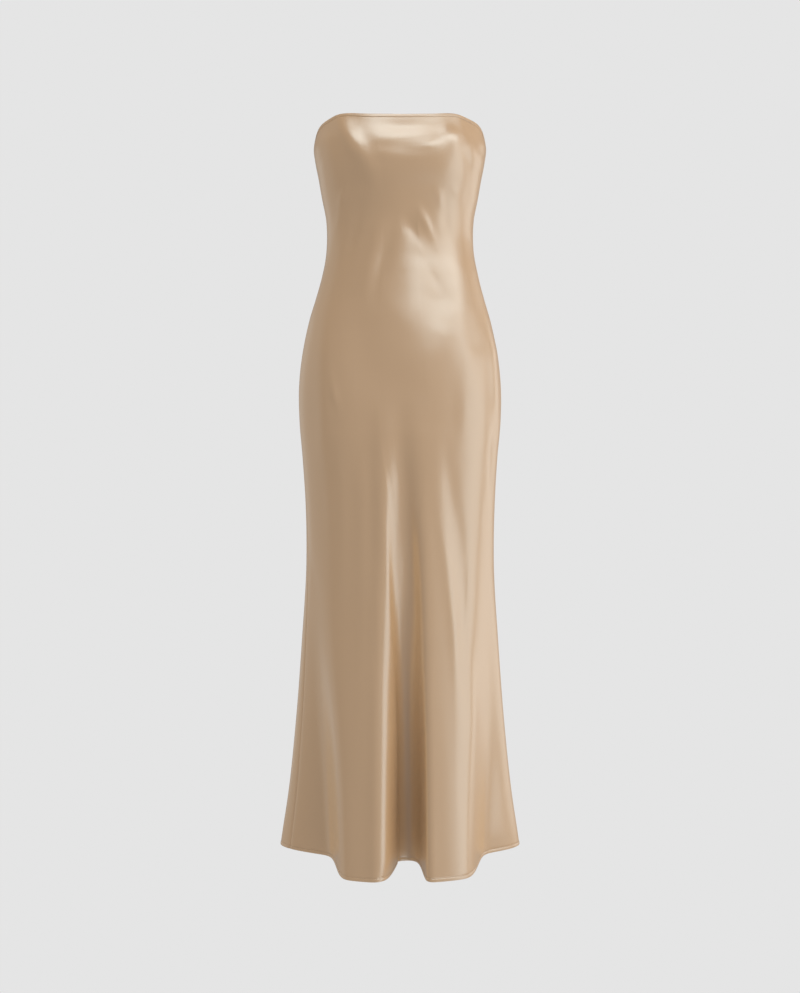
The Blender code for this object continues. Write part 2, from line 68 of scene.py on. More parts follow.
# Rings of the dress. front and back are depths from the middle line, which is where a ring is widest.
# A positive fullness squares a ring's corners and a negative one draws them in.
Ring = namedtuple("Ring", "z half_width front back middle front_fullness back_fullness")
RINGS = [
    Ring(40, 139.0, 107, 82, 0, 0.095, 0.05),
    Ring(20, 142.5, 114, 84, 0, 0.085, 0.05),
    Ring(0, 146.0, 120, 86, 0, 0.080, 0.05),
    Ring(-18, 143.8, 123, 86, 0, 0.075, 0.05),
    Ring(-48, 138.0, 120, 84, 0, 0.070, 0.04),
    Ring(-82, 132.0, 109, 81, 0, 0.050, 0.03),
    Ring(-116, 125.5, 100, 79, 0, 0.040, 0.03),
    Ring(-150, 124.0, 96, 79, 0, 0.030, 0.03),
    Ring(-184, 126.5, 97, 85, 0, 0.030, 0.03),
    Ring(-218, 133.5, 101, 94, 0, 0.030, 0.03),
    Ring(-252, 143.0, 105, 104, 0, 0.030, 0.03),
    Ring(-286, 153.0, 109, 113, 0, 0.025, 0.03),
    Ring(-320, 160.5, 111, 120, 0, 0.020, 0.03),
    Ring(-354, 166.5, 112, 125, 0, 0.020, 0.03),
    Ring(-400, 171.0, 112, 128, 0, 0.015, 0.03),
    Ring(-456, 170.5, 112, 126, 0, 0.010, 0.02),
    Ring(-524, 165.0, 110, 119, 0, 0.000, 0.00),
    Ring(-592, 160.5, 106, 113, 0, -0.010, -0.01),
    Ring(-694, 159.0, 101, 106, 1, -0.025, -0.02),
    Ring(-830, 167.0, 100, 100, 5, -0.045, -0.03),
    Ring(-966, 177.5, 104, 97, 10, -0.060, -0.04),
    Ring(-1102, 192.5, 112, 97, 16, -0.075, -0.05),
    Ring(-1150, 200.0, 116, 98, 18, -0.080, -0.05),
    Ring(-1190, 206.0, 119, 100, 20, -0.085, -0.05),
]

# Height of the top edge at each angle round from the centre front.
Edge = namedtuple("Edge", "angle height")
TOP_EDGE = [
    Edge(0, 36.5),
    Edge(20, 37.8),
    Edge(38, 40.6),
    Edge(50, 35.9),
    Edge(62, 30.5),
    Edge(76, 18.5),
    Edge(90, 2.0),
    Edge(104, -7.0),
    Edge(125, -12.0),
    Edge(180, -13.0),
]
TOP_BLEND = 70.0                # depth over which the rows level out below the top edge
HIP_HEIGHT = -400.0
HEM_HEIGHT = -1178.0
HEM_DIP = 8.0                   # how much lower a flute's hem hangs than the rest
HEM_DIP_POWER = 4               # the higher, the nearer the hem the rows start to dip

# Angle of each side seam from the centre front. The bias lets the skirt turn a little to one side.
Seam = namedtuple("Seam", "z right left")
SIDE_SEAMS = [
    Seam(40, 90, 90),
    Seam(-420, 89, 91),
    Seam(-760, 76, 95),
    Seam(-1190, 70, 98),
]

# Flutes of the skirt: the two edges of each, how far it stands out and how softly each edge turns.
Flute = namedtuple("Flute", "z start end depth start_soft end_soft")
FRONT_FLUTES = [
    [
        Flute(-470, -150, -24, 0, 40, 30),
        Flute(-620, -146, -25, 8, 28, 20),
        Flute(-820, -128, -24, 34, 16, 13),
        Flute(-1020, -111, -23, 75, 12, 10),
        Flute(-1190, -102, -23, 106, 9, 8),
    ],
    [
        Flute(-470, 18, 140, 0, 30, 40),
        Flute(-620, 22, 137, 9, 20, 28),
        Flute(-820, 26, 132, 36, 13, 17),
        Flute(-1020, 30, 128, 75, 10, 14),
        Flute(-1190, 32, 125, 107, 8, 11),
    ],
]
BACK_FLUTES = [
    [
        Flute(-500, -142, -30, 0, 36, 30),
        Flute(-820, -134, -42, 22, 20, 18),
        Flute(-1190, -124, -46, 62, 13, 12),
    ],
    [
        Flute(-520, 20, 132, 0, 30, 36),
        Flute(-820, 30, 128, 18, 18, 20),
        Flute(-1190, 36, 126, 54, 12, 14),
    ],
]
FLUTES_FROM = -480.0            # the columns start to follow the flutes here
FLUTES_FULL = -820.0            # and follow them wholly from here down
SIDE_FADE = 0.2                 # cosine of the angle within which the flutes die away at the sides

# Columns of the panels' points
FRONT_SPLITS = (2, 2, 3, 2, 2, 3, 1, 1, 3, 2, 2, 3, 2, 2)   # columns between neighbouring column lines
BACK_SPLITS = (3, 3, 1, 1, 3, 2)
FLANK_REACH = 1.3               # a flute's side spans this many times its softness, each way
LEAST_SPACING = 0.03            # radians between neighbouring column lines
SIDE_COLUMN = 2.5               # width of the narrow column beside a side seam
BACK_COLUMNS = (4.0, 13.0)      # columns beside the centre back, under the zip tape
ZIP_MOUTH_BLEND = 30.0          # length over which the mouth of the zip narrows
RING_SAMPLES = 721              # angles tried along a ring to find where it crosses an x
SMALL_TURN = 0.001              # radians over which a ring's length is measured


def smoothstep(value):
    value = np.clip(value, 0.0, 1.0)
    return value * value * (3.0 - 2.0 * value)


def smooth(rows, key, name, at):
    """A table's column at the height or angle given, along cubic pieces with matched slopes."""
    keys = np.array([getattr(row, key) for row in rows], float)
    values = np.array([getattr(row, name) for row in rows], float)
    if keys[0] > keys[-1]:
        keys = keys[::-1]
        values = values[::-1]
    slopes = np.gradient(values, keys)
    at = np.clip(at, keys[0], keys[-1])
    low = np.clip(np.searchsorted(keys, at) - 1, 0, len(keys) - 2)
    step = keys[low + 1] - keys[low]
    t = (at - keys[low]) / step
    rise = t * t * (3.0 - 2.0 * t)
    start_pull = t * (1.0 - t) ** 2 * step * slopes[low]
    end_pull = t * t * (1.0 - t) * step * slopes[low + 1]
    return values[low] * (1.0 - rise) + values[low + 1] * rise + start_pull - end_pull


def ring(name, z):
    return smooth(RINGS, "z", name, z)


def ring_point(angle, z):
    """Point of the plain ring at an angle from the centre front, in millimetres."""
    in_front = np.cos(angle) > 0
    depth = np.where(in_front, ring("front", z), ring("back", z))
    fullness = np.where(in_front, ring("front_fullness", z), ring("back_fullness", z))
    swell = 1.0 + fullness * np.sin(2.0 * angle) ** 2
    x = ring("half_width", z) * np.sin(angle) * swell
    y = ring("middle", z) - depth * np.cos(angle) * swell
    return x, y


def flute_push(flutes, x, z):
    """How far the flutes stand out from the plain ring."""
    push = 0.0
    for rows in flutes:
        start = (x - smooth(rows, "z", "start", z)) / smooth(rows, "z", "start_soft", z)
        end = (x - smooth(rows, "z", "end", z)) / smooth(rows, "z", "end_soft", z)
        push = push + smooth(rows, "z", "depth", z) * 0.25 * (1.0 + np.tanh(start)) * (1.0 - np.tanh(end))
    return push


def surface(angle, z):
    """Outer surface of the dress, in millimetres."""
    x, y = ring_point(angle, z)
    toward_front = np.cos(angle)
    side_fade = 1.0 - np.exp(-(toward_front / SIDE_FADE) ** 2)
    front_push = flute_push(FRONT_FLUTES, x, z)
    back_push = flute_push(BACK_FLUTES, x, z)
    y = y - side_fade * np.where(toward_front > 0, front_push, -back_push)
    return np.stack(np.broadcast_arrays(x, y, z), axis=-1)


def top_edge(angle):
    return smooth(TOP_EDGE, "angle", "height", np.abs(np.degrees(angle)))


def row_height(angle, level):
    """Height of a row at an angle. Rows follow the top edge at first and hang level at the hem."""
    centre_top = TOP_EDGE[0].height
    drop = centre_top - level
    binding = BINDING_HEIGHT / MM
    follow = 1.0 - smoothstep((drop - binding) / (TOP_BLEND - binding))
    hem_share = np.clip((HIP_HEIGHT - level) / (HIP_HEIGHT - HEM_HEIGHT), 0.0, 1.0) ** HEM_DIP_POWER
    x, _ = ring_point(angle, HEM_HEIGHT)
    stand_out = flute_push(FRONT_FLUTES, x, HEM_HEIGHT) / FRONT_FLUTES[0][-1].depth
    dip = HEM_DIP * np.where(np.cos(angle) > 0, stand_out, 0.0)
    return level + follow * (top_edge(angle) - centre_top) - hem_share * dip


def angle_of_x(x, z, low, high):
    """Angle at which the plain ring crosses x, between two angles over which x only grows or falls."""
    angles = np.linspace(low, high, RING_SAMPLES)
    across, _ = ring_point(angles, z)
    if across[0] > across[-1]:
        angles = angles[::-1]
        across = across[::-1]
    return np.interp(x, across, angles)


def flute_lines(rows, z):
    """x of the five lines that a flute's columns follow: the feet and brows of both sides, and the crest."""
    start = smooth(rows, "z", "start", z)
    end = smooth(rows, "z", "end", z)
    start_wall = FLANK_REACH * smooth(rows, "z", "start_soft", z)
    end_wall = FLANK_REACH * smooth(rows, "z", "end_soft", z)
    return [start - start_wall, start + start_wall, 0.5 * (start + end), end - end_wall, end + end_wall]


def follow_flutes(start, end, lines, z):
    """Column lines slide from an even spread above the flutes to the flutes' own lines below."""
    even = np.linspace(start, end, len(lines))
    spacing = np.linspace(0.0, LEAST_SPACING * (len(lines) - 1), len(lines))
    direction = np.sign(end - start)
    travel = direction * (np.array(lines) - start)
    travel = np.clip(travel, spacing, abs(end - start) - spacing[::-1])
    share = smoothstep((FLUTES_FROM - z) / (FLUTES_FROM - FLUTES_FULL))
    return (1.0 - share) * even + share * (start + direction * travel)


def seam_angle(side, z):
    """Signed angle of a side seam. side is left or right, as worn; the left is at +X."""
    degrees = smooth(SIDE_SEAMS, "z", side, z)
    return math.radians(degrees) * (1 if side == "left" else -1)


def speed(angle, z):
    """Millimetres travelled along the ring for each radian."""
    before = surface(angle - SMALL_TURN, z)
    after = surface(angle + SMALL_TURN, z)
    return float(np.linalg.norm(after - before)) / (2.0 * SMALL_TURN)


def split_columns(anchors, splits):
    columns = [anchors[0]]
    for start, end, count in zip(anchors, anchors[1:], splits):
        columns.extend(np.linspace(start, end, count + 1)[1:])
    return columns


def front_angles(z):
    """Angles of the front panel's columns at one height, from the right side seam to the left."""
    right = seam_angle("right", z)
    left = seam_angle("left", z)
    right += 0.5 * SEAM_OPENING / MM / speed(right, z)
    left -= 0.5 * SEAM_OPENING / MM / speed(left, z)
    inner_right = right + SIDE_COLUMN / speed(right, z)
    inner_left = left - SIDE_COLUMN / speed(left, z)
    first, second = [flute_lines(rows, z) for rows in FRONT_FLUTES]
    quarter = 0.5 * math.pi
    lines = angle_of_x(first + [0.5 * (first[-1] + second[0])] + second, z, -quarter, quarter)
    lines = [inner_right, 0.5 * (inner_right + lines[0]), *lines, 0.5 * (lines[-1] + inner_left), inner_left]
    columns = split_columns(follow_flutes(inner_right, inner_left, lines, z), FRONT_SPLITS)
    return np.array([right, *columns, left])


def zip_opening(z):
    """Distance between the two back panels at the centre back: open at the slider, closed below."""
    mouth_share = smoothstep((z - ZIP_MOUTH_BOTTOM / MM) / ZIP_MOUTH_BLEND)
    return (SEAM_OPENING + (ZIP_MOUTH - SEAM_OPENING) * mouth_share) / MM


def back_angles(side, z):
    """Angles of a back panel's columns at one height, in the same sense of turn as the front's."""
    sign = 1 if side == "left" else -1
    seam = seam_angle(side, z)
    seam += sign * 0.5 * SEAM_OPENING / MM / speed(seam, z)
    inner_seam = seam + sign * SIDE_COLUMN / speed(seam, z)
    centre = sign * math.pi
    across = speed(centre, z)
    edge = centre - sign * 0.5 * zip_opening(z) / across
    beside_zip = [edge - sign * width / across for width in BACK_COLUMNS]
    flute = BACK_FLUTES[1] if side == "left" else BACK_FLUTES[0]
    inward = sorted(flute_lines(flute, z), key=abs, reverse=True)
    lines = [inner_seam, *angle_of_x(inward, z, sign * 0.5 * math.pi, centre), beside_zip[1]]
    columns = split_columns(follow_flutes(inner_seam, beside_zip[1], lines, z), BACK_SPLITS)
    return np.sort([seam, *columns, beside_zip[0], edge])


def moved(grid, distance):
    """The grid moved out along its own normals, or in by a negative distance."""
    down = np.gradient(grid, axis=0)
    across = np.gradient(grid, axis=1)
    normal = np.cross(down, across)
    return grid + normal * distance / np.linalg.norm(normal, axis=-1, keepdims=True)


# ----------------------------------------------------------------------
# Folds
# ----------------------------------------------------------------------

# Each fold is a soft ridge, or a trough where its height is negative. It has one half width, or one for
# each of its points, and then its line of points: x, z and height. All are in millimetres.
FRONT_FOLDS = {
    "trough_floor": ((13, 13, 14, 15, 15, 15, 15), [
        (15, -590, 0), (18, -720, -3), (20, -850, -5), (22, -980, -6), (24, -1090, -6), (25, -1180, -5),
        (26, -1230, 0)]),
    "bust_left_dark": (16, [
        (-117, 54, 0), (-95, 22, 3.1), (-75, -18, 4.2), (-45, -72, 2.4), (-56, -121, 0.1), (-79, -164, 0)]),
    "bust_left_edge": (12, [(-103, 51, 0), (-84, 6, 1.9), (-61, -29, 3.3), (-32, -60, 0)]),
    "bust_top_shelf": (12, [(-98, 33, 0), (-65, 19, 0.2), (0, 14, -2.8), (65, 19, -2), (101, 20, 0)]),
    "bust_top_crease": (6, [(-61, -17, 0), (-32, -19, 0.8), (8, -20, -0.4), (48, -16, 2), (75, -11, 0)]),
    "bust_top_step": (9, [(-65, -30, 0), (-24, -33, 1.6), (16, -35, 1.5), (58, -30, 0.9), (81, -24, 0)]),
    "bust_right_ridge": (14, [(65, 33, 0), (81, 3, 2.3), (101, -30, 0.1), (119, -57, -2), (124, -90, 0)]),
    "bust_right_corner": (12, [(103, 54, 0), (122, 18, -2), (136, -10, -1.3), (138, -36, 0)]),
    "notch_right": (7, [(75, -67, 0), (90, -87, -0.1), (102, -103, -0.4), (113, -115, 0)]),
    "lobe_right": (10, [(62, -74, 0), (72, -101, -0.8), (77, -135, -1.6), (86, -171, 0)]),
    "diag_dark_right": (8, [(23, -103, 0), (39, -134, 2.1), (56, -169, 0.3), (72, -205, 0)]),
    "peak": (8, [(7, -116, 0), (16, -144, -2), (33, -183, 0), (59, -232, -0.5), (82, -264, 0)]),
    "peak_left_dark": (7, [(-3, -112, 0), (-7, -144, 0.5), (-23, -183, -0.5), (-37, -225, -0.1), (-36, -266, 0)]),
    "belly_left_edge": (12, [(-13, -151, 0), (-29, -203, -0.2), (-26, -253, 0.4), (-3, -296, 0.4), (32, -322, 0)]),
    "belly_bottom_edge": (14, [(-6, -296, 0), (32, -316, 0.1), (73, -328, 0.4), (115, -319, 0)]),
    "belly_right": (14, [(96, -121, 0), (106, -168, 1.5), (116, -226, 1.5), (129, -277, 0)]),
    "side_dark_right": (8, [(103, -131, 0), (114, -157, -0.4), (121, -193, 0.3), (134, -239, 0)]),
    "belly_swell": (30, [(33, -150, 0), (59, -202, -0.4), (65, -265, -2.3), (49, -332, 0)]),
    "left_light_a": (5, [(-85, -66, 0), (-95, -92, 0.8), (-106, -114, -0.2), (-117, -140, 0)]),
    "left_light_b": (6, [(-66, -136, 0), (-79, -164, -0.4), (-92, -199, 0)]),
    "left_mid": (14, [(-122, -47, 0), (-120, -92, -0.4), (-117, -143, -0.5), (-120, -194, 0)]),
    "left_dark_zone": (24, [(-79, -151, 0), (-79, -214, -0.7), (-72, -282, -1.1), (-45, -348, 0)]),
    "left_hip_edge": (14, [
        (-138, -237, 0), (-122, -295, 0.6), (-118, -378, 2.1), (-118, -460, 2.7), (-122, -542, 0)]),
    "left_streak": (4, [(-111, -365, 0), (-106, -392, 0.7), (-101, -422, 3.4), (-95, -445, 0)]),
    "hip_right_ridge": (14, [(119, -287, 0), (125, -336, -2), (128, -410, 0.1), (129, -493, -0.6), (132, -575, 0)]),
    "hip_right_inner": (12, [(95, -297, 0), (101, -363, -0.3), (103, -444, 1.3), (98, -526, 0)]),
    "hip_right_outer": (8, [(140, -274, 0), (154, -341, 3.7), (158, -425, 2.8), (158, -508, -3.7), (151, -592, 0)]),
    "thigh_plateau": (40, [(-32, -348, 0), (0, -413, -1.8), (0, -478, 2.7), (0, -543, 0)]),
    "peak_crisp": (5, [(11, -122, 0), (18, -144, -2), (28, -170, 0.7), (39, -196, 0)]),
    "lobe_edge": (6, [(52, -81, 0), (65, -95, 1.6), (72, -122, 0.2), (66, -158, 0)]),
    "diag_crisp": (4.5, [(26, -109, 0), (43, -137, 1), (57, -166, 0.2), (69, -191, 0)]),
    "ridge_right_crisp": (7, [(72, 26, 0), (91, -3, 0.5), (111, -32, -2), (123, -58, 0.6), (120, -86, 0)]),
    "corner_dark": (9, [(97, 54, 0), (112, 22, -1.1), (129, -1, -1.5), (138, -24, 0)]),
    "top_crease_crisp": (4.5, [(-52, -18, 0), (-26, -20, -2.4), (6, -21, -0.4), (39, -18, 0.3), (61, -14, 0)]),
    "top_crease_light": (6, [(-61, -29, 0), (-26, -32, -0.3), (13, -32, -1.1), (52, -27, 0)]),
    "top_left_dark": (8, [(-107, 51, 0), (-95, 18, 1.2), (-81, -14, 0.9), (-62, -50, 0)]),
    "left_ridge_thin_a": (4.5, [(-87, -72, 0), (-97, -95, 0.8), (-108, -117, 0)]),
    "belly_edge": (10, [(29, -303, 0), (65, -315, 0.4), (102, -320, 0.1), (125, -311, 0)]),
    "notch": (5, [(82, -72, 0), (92, -86, 1.7), (101, -100, 0)]),
    "right_side_light": (9, [(116, -63, 0), (113, -94, -1.6), (110, -129, 0.6), (114, -168, 0)]),
    "right_side_crease": (5, [(124, -84, 0), (124, -108, -0.7), (124, -144, 0.2), (129, -179, 0)]),
    "valley_left_edge": (8, [(-4, -430, 0), (-4, -520, -1.2), (-3, -620, -1.2), (-2, -700, 0)]),
    "ridge_thin": (5, [
        (-22, -450, 0), (-22, -530, 0.5), (-21, -660, 0.6), (-22, -760, 0.8), (-22, -915, 0.8), (-22, -1060, 0.8),
        (-20, -1180, 0.8), (-20, -1230, 0)]),
    "ridge_right_thin": (6, [
        (59, -556, 0), (68, -619, -0.6), (80, -714, 0.2), (88, -802, 1), (95, -914, -0.2), (100, -1054, -0.7),
        (103, -1145, 0)]),
    "valley_right_edge": (8, [
        (32, -591, 0), (39, -689, 0.2), (45, -817, 0.8), (46, -958, 1.5), (46, -1160, 2.5), (46, -1230, 0)]),
    "stroke": (5, [(100, -624, 0), (101, -690, 0.4), (103, -755, -0.3), (103, -813, 0)]),
    "belly_ridge": (30, [
        (-6, -88, 0), (-13, -151, 2.8), (-26, -217, -0.1), (-23, -283, 0.4), (-6, -348, -0.2), (0, -413, 0)]),
    "belly_left_hollow": (30, [
        (-62, -86, 0), (-69, -148, -0.5), (-79, -214, -0.9), (-78, -281, -1.3), (-68, -348, -2.6), (-55, -413, 0)]),
    "belly_right_hollow": (30, [
        (49, -87, 0), (52, -149, -1.2), (59, -216, -1.7), (62, -282, -2), (59, -348, 0.3), (55, -413, 0)]),
    "bust_centre_flat": (30, [(-55, 29, 0), (-32, -27, 2.2), (-19, -73, 2.3), (-13, -126, 0)]),
    "bust_right_flat": (30, [(59, 33, 0), (52, -26, -1.4), (49, -72, -0.5), (46, -126, 0)]),
    "side_left_swell": (26, [
        (-105, -66, 0), (-110, -126, -0.4), (-113, -210, 0.1), (-122, -295, 0.6), (-128, -378, 2.3),
        (-132, -476, 0)]),
    "side_right_swell": (26, [
        (105, -66, 0), (106, -127, -2), (109, -210, 1.4), (119, -295, -1.3), (128, -378, -0.7), (129, -476, 0)]),
    "hip_right_swell": ((24, 26, 26, 26, 24, 22, 20), [
        (118, -290, 0), (126, -360, 2.6), (130, -440, 4), (130, -530, 4.2), (128, -640, 3.6), (126, -760, 2.4),
        (124, -860, 0)]),
    "hip_left_swell": ((38, 42, 42, 42, 38, 32, 26), [
        (-100, -260, 0), (-102, -330, 6.6), (-102, -410, 11), (-100, -490, 11), (-98, -580, 5.5), (-96, -690, 2.2),
        (-96, -800, 0)]),
    "belly_furrow": ((9, 10, 11, 12, 12), [
        (-4, -112, 0), (-12, -145, -2.2), (-24, -188, -2.6), (-38, -238, -1.8), (-46, -290, 0)]),
    "belly_furrow_lip": ((10, 10, 11, 11), [(-34, -130, 0), (-40, -165, 1.4), (-50, -210, 1.4), (-60, -262, 0)]),
    "waist_furrow_left": ((8, 9, 9, 9), [(-64, -96, 0), (-70, -128, -1.6), (-80, -168, -1.8), (-94, -215, 0)]),
    "waist_ridge_left": (7, [(-86, -70, 0), (-94, -100, 1.2), (-104, -135, 1), (-112, -170, 0)]),
    "hip_mid_swell": (34, [(39, -332, 0), (42, -397, 1.7), (49, -462, 0.7), (59, -526, 0)]),
    "valley_start": ((15, 15, 15, 14, 13, 12), [
        (2, -420, 0), (4, -480, -4.5), (8, -560, -9.1), (14, -680, -7.8), (19, -790, -3.1), (20, -860, 0)]),
    "ridge_left_of_valley": ((14, 14, 14, 14, 17, 17, 17, 17, 17), [
        (-30, -430, 0), (-30, -510, 3.2), (-29, -600, 6), (-27, -680, 8), (-27, -760, 9.8), (-24, -850, 11.5),
        (-24, -960, 14), (-24, -1160, 14), (-24, -1260, 0)]),
    "valley_left_side": (11, [
        (-10, -543, 0), (-8, -640, -1.2), (-9, -740, 0.5), (-11, -850, 1.5), (-12, -983, 3), (-12, -1162, 3.4),
        (-12, -1250, 0)]),
    "ridge_right": (9, [
        (55, -543, 0), (66, -616, 1), (78, -705, 1.4), (88, -802, 1.2), (96, -945, 1), (101, -1144, 0)]),
    "valley_right_side": (14, [(32, -543, 0), (39, -640, 1.6), (45, -785, 0.8), (54, -974, 0), (59, -1155, 0)]),
    "stroke_dark": (7, [(95, -592, 0), (101, -650, -0.8), (105, -740, -1.2), (108, -830, 0)]),
    "strip_right": (10, [
        (129, -680, 0), (134, -800, 0.8), (138, -930, 1.4), (134, -1060, 1.6), (128, -1178, 1), (128, -1230, 0)]),
    "strip_right_inner": (9, [(114, -820, 0), (117, -948, 2.9), (112, -1072, 0.5), (104, -1160, 0)]),
    "grey_patch": (12, [(168, -1030, 0), (168, -1096, 1), (163, -1148, 1), (168, -1172, 0)]),
    "small_crease_right": (4, [(146, -525, 0), (143, -567, 0.6), (140, -617, -0.4), (136, -658, 0)]),
    "wall_left": (7, [
        (-155, -659, 0), (-143, -725, -0.9), (-130, -814, 0.1), (-122, -912, 0.2), (-113, -1017, -0.2),
        (-106, -1160, 0)]),
    "wall_left_dark": (10, [
        (-170, -745, 0), (-154, -843, 0.4), (-144, -959, 0.2), (-136, -1091, 0.5), (-129, -1172, 0)]),
    "left_skirt_light": (9, [(-98, -470, 0), (-95, -540, 1.2), (-92, -620, 1.5), (-94, -700, 1), (-96, -790, 0)]),
    "left_skirt_mid": ((11, 11, 11, 11, 12), [
        (-62, -500, 0), (-60, -590, 1.8), (-60, -700, 1.4), (-61, -860, 0.8), (-63, -1080, 0)]),
    "left_skirt_dark": (10, [(-115, -493, 0), (-112, -592, 1.5), (-108, -690, 1), (-104, -820, 0)]),
    "right_skirt_mid": ((13, 13, 13, 13, 12), [
        (72, -480, 0), (82, -560, -1.8), (95, -680, -2), (104, -820, -1.4), (110, -960, 0)]),
}
BACK_FOLDS = {
    "left_waist": ((10, 12, 14, 12), [(122, -112, 0), (98, -132, 2.6), (70, -150, 1.6), (42, -160, 0)]),
    "left_waist_low": ((10, 12, 14, 12), [(122, -150, 0), (96, -176, 2.2), (64, -196, 1.5), (36, -204, 0)]),
    "left_shoulder_blade": ((14, 16, 16, 14), [(116, -20, 0), (92, -56, -2), (60, -92, -1.2), (36, -112, 0)]),
    "left_seat": ((22, 26, 28, 24), [(128, -300, 0), (104, -352, -2.6), (78, -420, -2.2), (60, -486, 0)]),
    "left_skirt_ridge": ((12, 14, 15, 16, 16), [
        (46, -470, 0), (50, -600, 3.2), (60, -800, 4), (72, -1000, 3.2), (82, -1178, 2)]),
    "left_skirt_trough": ((12, 15, 18, 20), [(74, -520, 0), (86, -680, -2.6), (104, -880, -3.4), (124, -1178, -2)]),
    "left_skirt_inner": ((9, 10, 12, 12), [(20, -520, 0), (22, -700, 2), (26, -900, 2.6), (32, -1178, 1.4)]),
    "right_waist": ((10, 11, 13, 12), [(-122, -104, 0), (-96, -120, 2.2), (-66, -138, 1.8), (-38, -150, 0)]),
    "right_waist_low": ((10, 12, 13, 12), [(-124, -158, 0), (-100, -170, 1.8), (-72, -180, 1.8), (-34, -196, 0)]),
    "right_shoulder_blade": ((14, 15, 16, 14), [
        (-118, -26, 0), (-90, -64, -1.6), (-62, -86, -1.6), (-34, -120, 0)]),
    "right_seat": ((22, 24, 28, 24), [(-130, -290, 0), (-108, -340, -2.2), (-80, -408, -2.6), (-56, -470, 0)]),
    "right_skirt_ridge": ((12, 13, 15, 15, 16), [
        (-40, -500, 0), (-46, -620, 2.8), (-58, -820, 3.6), (-66, -1000, 3.4), (-80, -1178, 2.2)]),
    "right_skirt_trough": ((12, 15, 17, 20), [
        (-70, -540, 0), (-84, -700, -3), (-98, -900, -3), (-116, -1178, -2.2)]),
    "right_skirt_inner": ((9, 10, 11, 12), [(-18, -560, 0), (-22, -740, 2.4), (-24, -920, 2), (-30, -1178, 1.6)]),
}
# Bust darts, as the narrow dips that they sew into the front from the side seams
DARTS = {
    "right_dart": ((2.6, 2.6, 3.2), [(-140, -52, -0.7), (-131, -30, -0.8), (-121, -16, 0)]),
    "left_dart": ((2.6, 2.6, 3.2), [(140, -58, -0.7), (131, -36, -0.8), (122, -18, 0)]),
}


def fold_height(folds, x, z):
    """Height of all the folds together at points of the cloth."""
    total = np.zeros_like(x)
    for half_width, points in folds.values():
        widths = np.broadcast_to(half_width, len(points))
        nearest = np.full_like(x, np.inf)
        height = np.zeros_like(x)
        for start, end, start_width, end_width in zip(points, points[1:], widths, widths[1:]):
            run = (end[0] - start[0], end[1] - start[1])
            share = ((x - start[0]) * run[0] + (z - start[1]) * run[1]) / (run[0] ** 2 + run[1] ** 2)
            share = np.clip(share, 0.0, 1.0)
            width = start_width + share * (end_width - start_width)
            away = np.hypot(x - start[0] - share * run[0], z - start[1] - share * run[1]) / width
            closer = away < nearest
            nearest = np.where(closer, away, nearest)
            height = np.where(closer, start[2] + share * (end[2] - start[2]), height)
        total += height * np.exp(-nearest ** 2)
    return total


# ----------------------------------------------------------------------
# Cloth
# ----------------------------------------------------------------------

CLOTH = 0.5 * MM                # thickness of the satin
FRONT_FINENESS = 6              # visible columns for each column of the solid
BACK_FINENESS = 7
ROW_COUNT = 229                 # rows above the turned hem
BODICE_SHARE = 0.45             # of them, from the top edge down to BODICE_END
FOLD_SMOOTHING = 2              # passes that soften the folds' kinks
HEM_FOLD_RADIUS = 0.7 * MM      # the hem's edge is rolled round this
HEM_FOLD_ROWS = 7
HEM_TURNING_ROWS = 4
# In millimetres
BODICE_END = -380.0
HEM_ROWS = (10.0, 7.5, 6.0, 5.3, 4.6, 3.9, 3.0, 1.5, 0.0)    # heights above the hem edge
HEM_STITCH_HEIGHT = 4.6         # above the hem edge
STITCH_DIP = 0.45               # how far the hem stitching draws the cloth in
STITCH_SOFTNESS = 0.8           # and how far up and down that reaches
HEM_SWELL = 0.4                 # how far the turned hem stands out below the stitching
HEM_SWELL_BLEND = 1.2           # and over what height it starts
SEAM_DIP = 0.8                  # how far the cloth is drawn in along a sewn seam
SEAM_SOFTNESS = 2.2             # and how far from the seam that reaches
SEAM_HOLD = 11.0                # how far from a seam the folds are held down by it


def fine_angles(angles_at, level, fineness):
    coarse = angles_at(level)
    last = len(coarse) - 1
    return np.interp(np.linspace(0, last, last * fineness + 1), np.arange(len(coarse)), coarse)


def arc_lengths(grid, axis):
    """Distance along the rows or columns of a grid from its first line."""
    steps = np.linalg.norm(np.diff(grid, axis=axis), axis=-1)
    start = np.zeros_like(np.take(steps, [0], axis=axis))
    return np.concatenate([start, np.cumsum(steps, axis=axis)], axis=axis)


def unit(vectors):
    return vectors / np.linalg.norm(vectors, axis=-1, keepdims=True)


def softened(height):
    """Heights over a grid with their kinks smoothed out: each point takes a quarter from each neighbour."""
    for _ in range(FOLD_SMOOTHING):
        for axis in (0, 1):
            lines = np.moveaxis(height, axis, 0)
            lines[1:-1] = 0.25 * lines[:-2] + 0.5 * lines[1:-1] + 0.25 * lines[2:]
    return height


